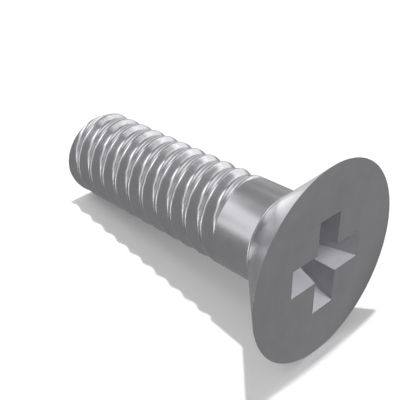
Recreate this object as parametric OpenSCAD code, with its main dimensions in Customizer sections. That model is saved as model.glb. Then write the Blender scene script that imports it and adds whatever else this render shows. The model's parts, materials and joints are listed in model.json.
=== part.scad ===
// Countersunk self-tapping screw with a cross recess and a flat cut tip.
// Lengths are in millimetres and angles in degrees.
// The screw lies at rest on the plane z = 0: its axis follows X with the head towards +X,
// and it leans on the rim of the head and on the last crest of the thread.

/* [Head] */
// Diameter of the head across its sharp rim
head_d = 12.5; // [11:0.1:14]
// Included angle of the cone under the head
cone_angle = 90; // [84:1:100]

/* [Recess] */
// Length of each wing of the cross, measured at the face of the head
wing_length = 6.08; // [5:0.04:7]
// Width of each wing, measured at the face of the head
wing_width = 1.83; // [1.6:0.01:2.2]
// Depth of the recess at the outer ends of its floor
recess_depth = 2.9; // [2:0.1:3.2]
// Extra depth of the floor at the middle of the cross
floor_dip = 0.3; // [0.1:0.05:0.5]
// Lean of the long side walls of a wing from the axis
side_draft = 12.2; // [6:0.1:12.4]
// Lean of the end wall of a wing from the axis
end_slope = 29.2; // [24:0.1:32]

/* [Shank] */
// Diameter of the plain neck
neck_d = 5.95; // [5.5:0.05:6.5]
// Distance from the face of the head to the end of the plain neck
neck_end = 5.95; // [5:0.05:8]
// Length of the screw from the face of the head to the tip
screw_length = 20; // [14:0.5:28]

/* [Thread] */
// Distance from one crest to the next along the axis
pitch = 1.315; // [1.1:0.005:1.6]
// Number of ridges wound side by side: each climbs this many crests in one turn
starts = 2; // [1:1:3]
// Depth of the thread from crest to root
thread_depth = 0.36; // [0.2:0.01:0.6]
// Width of the flat land on the crest
crest_land = 0.05; // [0.04:0.01:0.2]
// Distance towards the tip from the middle of a crest to the deepest line after it
root_offset = 0.62; // [0.4:0.01:0.8]
// Fullness of the hollow between crests: 1 makes it a straight V and more makes it rounder
hollow_fullness = 1.3; // [1.1:0.1:3]
// Depth of the crests under the surface of the neck
crest_step = 0.01; // [0.01:0.01:0.1]
// Distance from the face of the head to a crest on the upper side
crest_start = 7.55; // [6:0.05:9]

/* [Hidden] */
steel = [0.62, 0.62, 0.64];
round_steps = 96;
turn_steps = 48;

head_r = head_d / 2;
neck_r = neck_d / 2;
crest_r = neck_r - crest_step;
cone_height = (head_r - neck_r) / tan(cone_angle / 2);

// How far the recess's cutting tool reaches above the face
tool_rise = 1;

// Widths along the axis of the sides of the hollow, down from its two crests
near_side = root_offset - crest_land / 2;
far_side = pitch - root_offset - crest_land / 2;
// Places of the helical lines, as shares of the way from a crest's edge to the deepest line
near_places = [0, 0.2, 0.5, 1];
far_places = [0.6, 0.3, 0.1, 0];

// Radius in the hollow at a share of the way from a crest's edge to the deepest line
function hollow_radius(share) =
    crest_r - thread_depth * (1 - pow(1 - share, hollow_fullness));

// One pitch of the thread: distance towards the tip from the middle of a crest, and radius
thread_profile = concat(
    [for (share = near_places) [crest_land / 2 + share * near_side, hollow_radius(share)]],
    [for (share = far_places) [pitch - crest_land / 2 - share * far_side, hollow_radius(share)]]
);
profile_points = len(thread_profile);
// How far one ridge climbs in a turn
lead = starts * pitch;
// The same profile with its last point repeated one pitch earlier, for reading a radius
radius_table = concat(
    [[thread_profile[profile_points - 1][0] - pitch, crest_r]],
    thread_profile,
    [[thread_profile[0][0] + pitch, crest_r]]
);

// The helical lines start one turn or more before the neck's end, where all are cut off
turns_before = ceil((crest_start - neck_end) / lead) + 1;
lines_start = crest_start - lead / 2 - lead * turns_before;
crest_count = ceil((screw_length - lines_start) / pitch) + 1;
line_count = crest_count * profile_points;

// Distance from the face of the head to helical line j at step i of a turn
function line_at(i, j) =
    lines_start + pitch * floor(j / profile_points) + lead * (1 - i / turn_steps)
    + thread_profile[j % profile_points][0];

// Radius of the thread at distance s from the face of the head, at step i of a turn
function radius_at(i, s) =
    let (from_crest = s - lines_start + lead * i / turn_steps)
    lookup(from_crest - pitch * floor(from_crest / pitch), radius_table);

// First and last line at step i that the ends of the thread leave, as cut off by them
function first_line(i) = max([for (j = [0:line_count - 1]) if (line_at(i, j) <= neck_end) j]);
function last_line(i) = min([for (j = [0:line_count - 1]) if (line_at(i, j) >= screw_length) j]);
first_lines = [for (i = [0:turn_steps - 1]) first_line(i)];
last_lines = [for (i = [0:turn_steps - 1]) last_line(i)];

// Point of the thread's surface at step i on line j
function surface_point(i, j) =
    let (
        s = min(max(line_at(i, j), neck_end), screw_length),
        r = radius_at(i, s),
        turn = 360 * i / turn_steps
    )
    [r * cos(turn), r * sin(turn), -s];

// Index of that point, where a turn's last step meets its first step one lead on
function point_index(i, j) =
    i == turn_steps
        ? point_index(0, max(j - starts * profile_points, 0))
        : i * line_count + min(max(j, first_lines[i]), last_lines[i]);

// A triangle is left out where the cut at an end has closed it up
function has_area(t) = t[0] != t[1] && t[1] != t[2] && t[2] != t[0];

// Threaded part of the shank, with its axis down from the face of the head
module thread() {
    top_centre = turn_steps * line_count;
    tip_centre = top_centre + 1;
    points = concat(
        [for (i = [0:turn_steps - 1]) for (j = [0:line_count - 1]) surface_point(i, j)],
        [[0, 0, -neck_end], [0, 0, -screw_length]]
    );
    sides = [
        for (i = [0:turn_steps - 1])
        for (j = [0:line_count - 2])
        let (
            a = point_index(i, j),
            b = point_index(i, j + 1),
            c = point_index(i + 1, j + 1),
            d = point_index(i + 1, j)
        )
        for (t = [[a, d, c], [a, c, b]])
        if (has_area(t)) t
    ];
    ends = [
        for (i = [0:turn_steps - 1])
        for (t = [
            [top_centre, point_index(i + 1, 0), point_index(i, 0)],
            [tip_centre, point_index(i, line_count - 1), point_index(i + 1, line_count - 1)]
        ])
        t
    ];
    polyhedron(points, concat(sides, ends));
}

// Head and plain neck, turned about the axis
module head_and_neck() {
    rotate_extrude($fn = round_steps)
        polygon([
            [0, 0],
            [head_r, 0],
            [neck_r, -cone_height],
            [neck_r, -neck_end],
            [0, -neck_end]
        ]);
}

// Outline of a tapered slot seen along its length, widening up to tool_rise above the face
module slot_outline(half_width, lean, depth, dip) {
    top = half_width + tool_rise * tan(lean);
    bottom = half_width - depth * tan(lean);
    polygon([
        [-top, tool_rise],
        [top, tool_rise],
        [bottom, -depth],
        [0, -depth - dip],
        [-bottom, -depth]
    ]);
}

// One wing pair of the recess, along X, pointed down its middle like the punch that made it
module wing_pair() {
    reach = wing_length + 2 * tool_rise;
    intersection() {
        rotate([90, 0, 0])
            linear_extrude(reach, center = true)
            slot_outline(wing_length / 2, end_slope, recess_depth, floor_dip);
        rotate([90, 0, 90])
            linear_extrude(reach, center = true)
            slot_outline(wing_width / 2, side_draft, recess_depth + floor_dip, 0);
    }
}

module cross_recess() {
    wing_pair();
    rotate([0, 0, 90])
        wing_pair();
}

// The last crest on the underside before the tip, up to its edge
crest_edge_start = crest_start - lead / 2 + crest_land / 2;
crest_edges = floor((screw_length - crest_edge_start) / pitch);
rest_edge = crest_edge_start + pitch * crest_edges;

// Lean of the axis when the rim and that crest both touch the floor
lean = atan((head_r - crest_r) / rest_edge);

// Reach of the tip's upper side beyond the face of the head, and of the lower rim the other way
tip_reach = max([
    for (i = [0:turn_steps - 1])
    screw_length * cos(lean) - radius_at(i, screw_length) * cos(360 * i / turn_steps) * sin(lean)
]);
rim_reach = head_r * sin(lean);

// Lays the screw on its side, with the middle of its footprint at the origin
module lie_down() {
    translate([(tip_reach - rim_reach) / 2, 0, head_r * cos(lean)])
        rotate([0, 90 - lean, 0])
        children();
}

module screw() {
    color(steel)
        lie_down()
        difference() {
            union() {
                head_and_neck();
                thread();
            }
            cross_recess();
        }
}

screw();
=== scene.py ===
"""A countersunk self-tapping screw with a cross recess, lying on a white table."""
import json
import math

import bmesh
import bpy
from mathutils import Matrix, Vector


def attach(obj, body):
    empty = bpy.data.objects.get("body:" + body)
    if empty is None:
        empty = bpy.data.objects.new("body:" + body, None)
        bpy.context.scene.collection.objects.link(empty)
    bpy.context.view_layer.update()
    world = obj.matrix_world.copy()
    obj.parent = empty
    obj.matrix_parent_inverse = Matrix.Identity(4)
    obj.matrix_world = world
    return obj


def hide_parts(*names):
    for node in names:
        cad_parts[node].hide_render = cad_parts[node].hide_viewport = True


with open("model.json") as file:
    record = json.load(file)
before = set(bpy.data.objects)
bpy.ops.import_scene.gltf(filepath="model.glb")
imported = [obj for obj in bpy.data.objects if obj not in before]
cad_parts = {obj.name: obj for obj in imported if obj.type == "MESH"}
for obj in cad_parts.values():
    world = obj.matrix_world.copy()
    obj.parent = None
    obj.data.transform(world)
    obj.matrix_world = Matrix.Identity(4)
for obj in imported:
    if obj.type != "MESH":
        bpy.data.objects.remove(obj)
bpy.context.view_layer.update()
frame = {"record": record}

MM = 0.001

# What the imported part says: where the screw lies and how it leans, in metres
mounts = {mount["name"]: mount for mount in frame["record"]["mounts"]}
head_centre = Vector(mounts["driver_recess"]["pos_m"])
head_way = Vector(mounts["driver_recess"]["axis"]).normalized()
lean = math.asin(head_way.z)

# Its main sizes. The screw is modelled in millimetres, standing on its tip, and laid down last
screw_length = (Vector(mounts["tip_face"]["pos_m"]) - head_centre).length / MM
head_r = head_centre.z / math.cos(lean) / MM
neck_r = mounts["neck"]["dims"]["r_mm"]
neck_middle = (Vector(mounts["neck"]["pos_m"]) - head_centre).length / MM
cone_foot = neck_middle - mounts["neck"]["dims"]["length_mm"] / 2
neck_end = neck_middle + mounts["neck"]["dims"]["length_mm"] / 2
crest_r = mounts["thread"]["dims"]["r_mm"]

# Head and neck
head_sides = 256
rim_bevel = 0.02
foot_fillet = 0.08
crease_angle = math.radians(28)

# Cross recess
wing_length = 6.08
wing_width = 1.83
recess_depth = 2.9
floor_dip = 0.3
side_draft = math.radians(12.2)
end_slope = math.radians(29.2)
cutter_rise = 0.5
# The recess's duller skin lies within this reach of its middle, this far under the face
recess_reach = 3.2
skin_start = 0.01

# Thread
pitch = 1.315
starts = 2
ridge_depth = 0.295
root_offset = 0.618
crest_round = 0.13
root_round = 0.2
crest_start = 7.54
curve_steps = 4
flank_steps = 3
turn_steps = 144
neck_overlap = 0.1

# Surface: how dull the zinc is, and the size of its mottling and of its grain
zinc_roughness = (0.25, 0.27)
recess_roughness = 0.95
mottle_size = 1.2
grain_size = 0.06
grain_depth = 0.01

# Camera: its place round the screw's axis and above it, its lens, and how many head radii away
camera_side = math.radians(45)
camera_rise = math.radians(30)
lens_angle = math.radians(30)
camera_distance = 7.655 * head_r * MM

# Lamps, each given by its name, its direction from the screw as an angle round the shank from
# straight up and one towards the tip, its width, height and roll as seen from the screw,
# and its brightness, where 1 shows as white
softboxes = [
    # Soft patches on the upper side of the ridges
    ("softbox_above", -15, 22, 28, 18, 0, 2.0),
    ("softbox_far_above", 50, 15, 15, 20, 50, 1.5),
    ("softbox_high_tip", 20, 60, 26, 26, 0, 0.9),
    ("strip_above", 25, 12, 24, 8, 0, 1.4),
    # Highlight along the neck and the bright curves down the near side of the ridges
    ("strip_near_above", -40, 36, 22, 52, 42, 0.9),
    ("strip_near_tip", -85, 47, 64, 10, -45, 0.9),
    ("strip_low_tip", -130, 61, 36, 8, 0, 1.7),
    # Light edge along the top of the shank and the slow fade down the cone
    ("softbox_far_side", 75, 15, 32, 34, 0, 1.0),
    ("softbox_far_low", 120, 15, 26, 26, 0, 1.0),
    ("softbox_far_tip", 72, 62, 50, 44, 0, 0.55),
    ("strip_far_tip", 115, 70, 8, 30, -40, 1.2),
]
lamp_distance = 0.5
room_light = 0.28
table_size = 4

# A lamp that only the metal shows, and a softbox and a key lamp that only the table shows
recess_lamp = ("recess_lamp", 25, -45, 45, 45, 0, 6.0)
table_lamp = ("table_lamp", -50, 0, 70, 70, 0, 0.6)
key_light = 0.58
key_way = (5, 3)
key_width = 2


def select_only(thing):
    """Leave one object selected and active."""
    bpy.ops.object.select_all(action="DESELECT")
    thing.select_set(True)
    bpy.context.view_layer.objects.active = thing


def edit_mode(select="DESELECT", kind="VERT"):
    """Open the active mesh for editing, with all or nothing of it selected."""
    bpy.ops.object.mode_set(mode="EDIT")
    bpy.ops.mesh.select_mode(type=kind)
    bpy.ops.mesh.select_all(action=select)


def object_mode():
    """Go back from editing to the finished object."""
    bpy.ops.object.mode_set(mode="OBJECT")


def apply_modifier(kind, **settings):
    """Put one modifier on the active object and apply it."""
    thing = bpy.context.object
    modifier = thing.modifiers.new(kind.title(), kind)
    for name, value in settings.items():
        setattr(modifier, name, value)
    bpy.ops.object.modifier_apply(modifier=modifier.name)


def select_edges(thing, wanted):
    """Select, in edit mode, the edges whose two ends both pass the test."""
    mesh = bmesh.from_edit_mesh(thing.data)
    for edge in mesh.edges:
        edge.select_set(all(wanted(vert.co) for vert in edge.verts))
    mesh.select_flush(True)
    bmesh.update_edit_mesh(thing.data)


def at_ring(radius, depth, slack=1e-4):
    """A test for points on one ring round the axis, at a depth under the head's face."""
    def test(point):
        off_ring = abs(math.hypot(point.x, point.y) - radius)
        return off_ring < slack and abs(point.z + depth) < slack
    return test


def make_head():
    """Head and neck: a disc at the face, drawn in down the cone and on down the neck."""
    bpy.ops.object.select_all(action="DESELECT")
    bpy.ops.mesh.primitive_circle_add(vertices=head_sides, radius=head_r, fill_type="NGON")
    head = bpy.context.object
    edit_mode("SELECT", "FACE")
    bpy.ops.mesh.extrude_region_move(TRANSFORM_OT_translate={"value": (0, 0, -cone_foot)})
    shrink = neck_r / head_r
    bpy.ops.transform.resize(value=(shrink, shrink, 1))
    neck_length = neck_end - cone_foot
    bpy.ops.mesh.extrude_region_move(TRANSFORM_OT_translate={"value": (0, 0, -neck_length)})
    bpy.ops.mesh.select_mode(type="EDGE")
    bpy.ops.mesh.select_all(action="DESELECT")
    select_edges(head, at_ring(head_r, 0))
    bpy.ops.mesh.bevel(offset=rim_bevel, segments=2)
    bpy.ops.mesh.select_all(action="DESELECT")
    select_edges(head, at_ring(neck_r, cone_foot))
    bpy.ops.mesh.bevel(offset=foot_fillet, segments=3)
    bpy.ops.mesh.select_all(action="SELECT")
    bpy.ops.mesh.normals_make_consistent(inside=False)
    object_mode()
    return head


def rounded_corner(before, corner, after, reach):
    """Points of a smooth curve that cuts off a corner of the outline, a reach to each side."""
    start = corner.lerp(before, reach / (corner.x - before.x))
    end = corner.lerp(after, reach / (after.x - corner.x))
    shares = [i / curve_steps for i in range(curve_steps + 1)]
    return [start.lerp(corner, share).lerp(corner.lerp(end, share), share) for share in shares]


def thread_outline():
    """One pitch of the thread, as (distance towards the tip, radius) from a crest on."""
    near_slope = ridge_depth / root_offset
    far_slope = ridge_depth / (pitch - root_offset)
    sharp_crest_r = crest_r + crest_round * (near_slope + far_slope) / 4
    step = Vector((pitch, 0))
    crest = Vector((0, sharp_crest_r))
    root = Vector((root_offset, sharp_crest_r - ridge_depth))
    points = rounded_corner(root - step, crest, root, crest_round)
    points += between(points[-1], root.lerp(crest, root_round / root_offset))
    points += rounded_corner(crest, root, crest + step, root_round)
    points += between(points[-1], points[0] + step)
    return points


def between(start, end):
    """Points that split the straight side from one point to another evenly."""
    return [start.lerp(end, i / flank_steps) for i in range(1, flank_steps)]


def make_thread():
    """Threaded shank: its outline along one turn drawn point by point, then wound by Screw.

    The outline is drawn on the side that ends up below, half a turn from the upper crests.
    """
    lead = starts * pitch
    turns_before = math.ceil((crest_start - neck_end) / lead) + 1
    first_crest = crest_start - (turns_before + 0.5) * lead
    turns = math.ceil((screw_length - first_crest) / lead) + 1
    outline = [
        point + Vector((pitch * ridge, 0)) for ridge in range(starts) for point in thread_outline()
    ]
    outline.append(outline[0] + Vector((lead, 0)))
    bpy.ops.object.select_all(action="DESELECT")
    bpy.ops.mesh.primitive_plane_add(size=pitch)
    shank = bpy.context.object
    edit_mode("SELECT")
    bpy.ops.mesh.merge(type="CENTER")
    place, radius = outline[0]
    bpy.ops.transform.translate(value=(radius, 0, -(first_crest + place)))
    for (place, radius), (next_place, next_radius) in zip(outline, outline[1:]):
        step = (next_radius - radius, 0, place - next_place)
        bpy.ops.mesh.extrude_region_move(TRANSFORM_OT_translate={"value": step})
    object_mode()
    apply_modifier(
        "SCREW", axis="Z", angle=-2 * math.pi, screw_offset=-lead, iterations=turns,
        steps=turn_steps, render_steps=turn_steps, use_merge_vertices=True,
        merge_threshold=1e-4, use_normal_calculate=True,
    )
    cut_level(neck_end - neck_overlap, above=True)
    cut_level(screw_length, above=False)
    edit_mode("SELECT")
    bpy.ops.mesh.normals_make_consistent(inside=False)
    object_mode()
    return shank


def cut_level(depth, above):
    """Cut the active shank square to its axis, drop what is above or below and close it."""
    edit_mode("SELECT")
    bpy.ops.mesh.bisect(
        plane_co=(0, 0, -depth), plane_no=(0, 0, 1), use_fill=True,
        clear_outer=above, clear_inner=not above,
    )
    object_mode()


def make_wing():
    """Cutter for two facing wings of the recess, along X: a block tapered to a dipped foot."""
    foot_length = wing_length - 2 * recess_depth * math.tan(end_slope)
    top_length = wing_length + 2 * cutter_rise * math.tan(end_slope)
    top_width = wing_width + 2 * cutter_rise * math.tan(side_draft)
    height = recess_depth + cutter_rise
    bpy.ops.object.select_all(action="DESELECT")
    middle = cutter_rise - height / 2
    bpy.ops.mesh.primitive_cube_add(size=1, location=(0, 0, middle))
    wing = bpy.context.object
    wing.scale = (top_length, top_width, height)
    bpy.ops.object.transform_apply(location=True, rotation=False, scale=True)
    foot_width = wing_width - 2 * recess_depth * math.tan(side_draft)
    edit_mode()
    select_edges(wing, lambda point: point.z < middle)
    bpy.ops.transform.resize(value=(foot_length / top_length, foot_width / top_width, 1))
    bpy.ops.mesh.select_all(action="SELECT")
    bpy.ops.mesh.bisect(plane_co=(0, 0, 0), plane_no=(1, 0, 0))
    bpy.ops.mesh.select_all(action="DESELECT")
    select_edges(wing, lambda point: point.z < middle and abs(point.x) < 1e-4)
    dip_width = foot_width - 2 * floor_dip * math.tan(side_draft)
    bpy.ops.transform.translate(value=(0, 0, -floor_dip))
    bpy.ops.transform.resize(value=(1, dip_width / foot_width, 1))
    object_mode()
    return wing


def cut_recess(head):
    """Take both pairs of wings out of the head."""
    along = make_wing()
    across = make_wing()
    across.rotation_euler.z = math.pi / 2
    bpy.ops.object.transform_apply(location=False, rotation=True, scale=False)
    for wing in (along, across):
        select_only(head)
        apply_modifier("BOOLEAN", operation="DIFFERENCE", object=wing, solver="EXACT")
    for wing in (along, across):
        bpy.data.objects.remove(wing)


def make_screw():
    """The whole screw as one closed solid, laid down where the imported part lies."""
    head = make_head()
    cut_recess(head)
    shank = make_thread()
    select_only(head)
    apply_modifier("BOOLEAN", operation="UNION", object=shank, solver="EXACT")
    bpy.data.objects.remove(shank)
    head.name = "countersunk_screw"
    head.data.name = "countersunk_screw"
    head.rotation_euler.y = math.pi / 2 - lean
    head.location = head_centre
    head.scale = (MM, MM, MM)
    select_only(head)
    bpy.ops.object.transform_apply(location=True, rotation=True, scale=True)
    bpy.ops.object.shade_smooth_by_angle(angle=crease_angle)
    return head


def linear(code):
    """Linear colour from an sRGB hex code."""
    parts = [int(code[i:i + 2], 16) / 255 for i in (1, 3, 5)]
    return [c / 12.92 if c <= 0.04045 else ((c + 0.055) / 1.055) ** 2.4 for c in parts] + [1]


def add_node(tree, kind, inputs=(), links=(), **settings):
    """Add one shader node with its settings, its socket values and its incoming links."""
    node = tree.nodes.new("ShaderNode" + kind)
    for name, value in settings.items():
        setattr(node, name, value)
    for socket, value in dict(inputs).items():
        node.inputs[socket].default_value = value
    for socket, source in dict(links).items():
        tree.links.new(source, node.inputs[socket])
    return node


def new_material(name):
    """An empty material and its node tree."""
    material = bpy.data.materials.new(name)
    material.use_nodes = True
    material.node_tree.nodes.clear()
    return material, material.node_tree


def inside_recess(tree, place):
    """Mask of the recess: 1 on the walls that the punch has left, and 0 elsewhere."""
    own_place = add_node(
        tree, "Mapping", {"Location": head_centre, "Rotation": (0, math.pi / 2 - lean, 0)},
        {"Vector": place}, vector_type="TEXTURE",
    ).outputs["Vector"]
    height = add_node(tree, "SeparateXYZ", {}, {"Vector": own_place}).outputs["Z"]
    flat = add_node(
        tree, "VectorMath", {1: (1, 1, 0)}, {0: own_place}, operation="MULTIPLY"
    ).outputs["Vector"]
    off_axis = add_node(tree, "VectorMath", {}, {0: flat}, operation="LENGTH").outputs["Value"]
    near = add_node(
        tree, "Math", {1: recess_reach * MM}, {0: off_axis}, operation="LESS_THAN"
    ).outputs["Value"]
    under_face = add_node(
        tree, "Math", {1: -skin_start * MM}, {0: height}, operation="LESS_THAN"
    ).outputs["Value"]
    over_neck = add_node(
        tree, "Math", {1: -recess_reach * MM}, {0: height}, operation="GREATER_THAN"
    ).outputs["Value"]
    deep = add_node(
        tree, "Math", {}, {0: under_face, 1: over_neck}, operation="MULTIPLY"
    ).outputs["Value"]
    return add_node(tree, "Math", {}, {0: near, 1: deep}, operation="MULTIPLY").outputs["Value"]


def zinc_plated_steel():
    """Clear zinc on cold-formed steel: a cool satin grey, faintly mottled by the bath."""
    material, tree = new_material("zinc_plated_steel")
    place = add_node(tree, "TexCoord").outputs["Object"]
    mottle = add_node(
        tree, "TexNoise", {"Scale": 1 / (mottle_size * MM), "Detail": 3.0, "Roughness": 0.55},
        {"Vector": place},
    ).outputs["Fac"]
    grain = add_node(
        tree, "TexNoise", {"Scale": 1 / (grain_size * MM), "Detail": 2.0}, {"Vector": place}
    ).outputs["Fac"]
    tint = add_node(tree, "ValToRGB", {}, {"Fac": mottle})
    tint.color_ramp.elements[0].position = 0.3
    tint.color_ramp.elements[0].color = linear("#c7c7cb")
    tint.color_ramp.elements[1].position = 0.7
    tint.color_ramp.elements[1].color = linear("#cdcdd1")
    least, most = zinc_roughness
    outer_skin = add_node(
        tree, "MapRange", {"From Min": 0.3, "From Max": 0.7, "To Min": least, "To Max": most},
        {"Value": mottle},
    ).outputs["Result"]
    skin = add_node(
        tree, "Mix", {"B": recess_roughness},
        {"Factor": inside_recess(tree, place), "A": outer_skin},
    ).outputs["Result"]
    bump = add_node(
        tree, "Bump", {"Strength": 0.005, "Distance": grain_depth * MM}, {"Height": grain}
    ).outputs["Normal"]
    shader = add_node(
        tree, "BsdfPrincipled", {"Metallic": 1.0},
        {"Base Color": tint.outputs["Color"], "Roughness": skin, "Normal": bump},
    )
    add_node(tree, "OutputMaterial", {}, {"Surface": shader.outputs["BSDF"]})
    return material


def white_table():
    """Smooth matt white board."""
    material, tree = new_material("matt_white_board")
    shader = add_node(tree, "BsdfDiffuse", {"Color": linear("#fafafa")})
    add_node(tree, "OutputMaterial", {}, {"Surface": shader.outputs["BSDF"]})
    return material


def turned(vector):
    """A direction or place in the screw's own level frame, leaned as the screw leans."""
    return Matrix.Rotation(-lean, 3, "Y") @ Vector(vector)


def set_camera():
    """A 30 degree lens on the middle of the screw, from the front left of its head."""
    back = turned((
        math.cos(camera_rise) * math.sin(camera_side),
        -math.cos(camera_rise) * math.cos(camera_side),
        math.sin(camera_rise),
    ))
    right = turned((0, 0, 1)).cross(back).normalized()
    above = back.cross(right)
    data = bpy.data.cameras.new("camera")
    data.lens = data.sensor_width / 2 / math.tan(lens_angle / 2)
    data.clip_start = 1 * MM
    data.clip_end = 10
    camera = bpy.data.objects.new("camera", data)
    middle = head_centre - head_way * screw_length * MM / 2
    camera.matrix_world = Matrix.Translation(middle + back * camera_distance) @ Matrix(
        (right, above, back)
    ).transposed().to_4x4()
    bpy.context.scene.collection.objects.link(camera)
    bpy.context.scene.camera = camera


def way_to(round_angle, tip_angle):
    """Direction at an angle round the shank from straight up, and at one on towards the tip."""
    round_angle = math.radians(round_angle)
    tip_angle = math.radians(tip_angle)
    return turned((
        -math.sin(tip_angle),
        math.cos(tip_angle) * math.sin(round_angle),
        math.cos(tip_angle) * math.cos(round_angle),
    ))


def add_softbox(name, round_angle, tip_angle, width, height, roll, brightness):
    """A flat square-edged lamp that faces the screw. Its sizes are angles seen from there."""
    way = way_to(round_angle, tip_angle)
    side = way_to(round_angle + 90, 0)
    across = Matrix.Rotation(math.radians(roll), 3, way) @ side
    data = bpy.data.lights.new(name, "AREA")
    data.shape = "RECTANGLE"
    data.size = 2 * lamp_distance * math.tan(math.radians(width / 2))
    data.size_y = 2 * lamp_distance * math.tan(math.radians(height / 2))
    data.energy = brightness * math.pi * data.size * data.size_y
    lamp = bpy.data.objects.new(name, data)
    lamp.matrix_world = Matrix.Translation(way * lamp_distance) @ Matrix(
        (across, way.cross(across), way)
    ).transposed().to_4x4()
    bpy.context.scene.collection.objects.link(lamp)
    return lamp


def add_key_lamp():
    """Small far lamp almost straight above: it draws the clear shadow on the table."""
    data = bpy.data.lights.new("key_lamp", "SUN")
    data.angle = math.radians(key_width)
    data.energy = key_light * math.pi
    lamp = bpy.data.objects.new("key_lamp", data)
    lamp.rotation_euler = way_to(*key_way).to_track_quat("Z", "Y").to_euler()
    lamp.visible_glossy = False
    bpy.context.scene.collection.objects.link(lamp)


def set_surroundings():
    """Even grey room."""
    world = bpy.data.worlds.new("surroundings")
    bpy.context.scene.world = world
    world.use_nodes = True
    tree = world.node_tree
    tree.nodes.clear()
    glow = add_node(tree, "Background", {"Color": linear("#ffffff"), "Strength": room_light})
    add_node(tree, "OutputWorld", {}, {"Surface": glow.outputs["Background"]})


def set_stage():
    """White table that the metal doesn't mirror, with the lamps and the room round it."""
    bpy.ops.object.select_all(action="DESELECT")
    bpy.ops.mesh.primitive_plane_add(size=table_size)
    table = bpy.context.object
    table.name = "table"
    table.data.materials.append(white_table())
    table.visible_glossy = False
    table.visible_shadow = False
    for softbox in softboxes:
        add_softbox(*softbox)
    add_softbox(*recess_lamp).visible_diffuse = False
    add_softbox(*table_lamp).visible_glossy = False
    add_key_lamp()
    set_surroundings()


screw = make_screw()
screw.data.materials.clear()
screw.data.materials.append(zinc_plated_steel())
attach(screw, "root")
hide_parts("screw")

set_stage()
set_camera()
bpy.context.scene.view_settings.view_transform = "Standard"
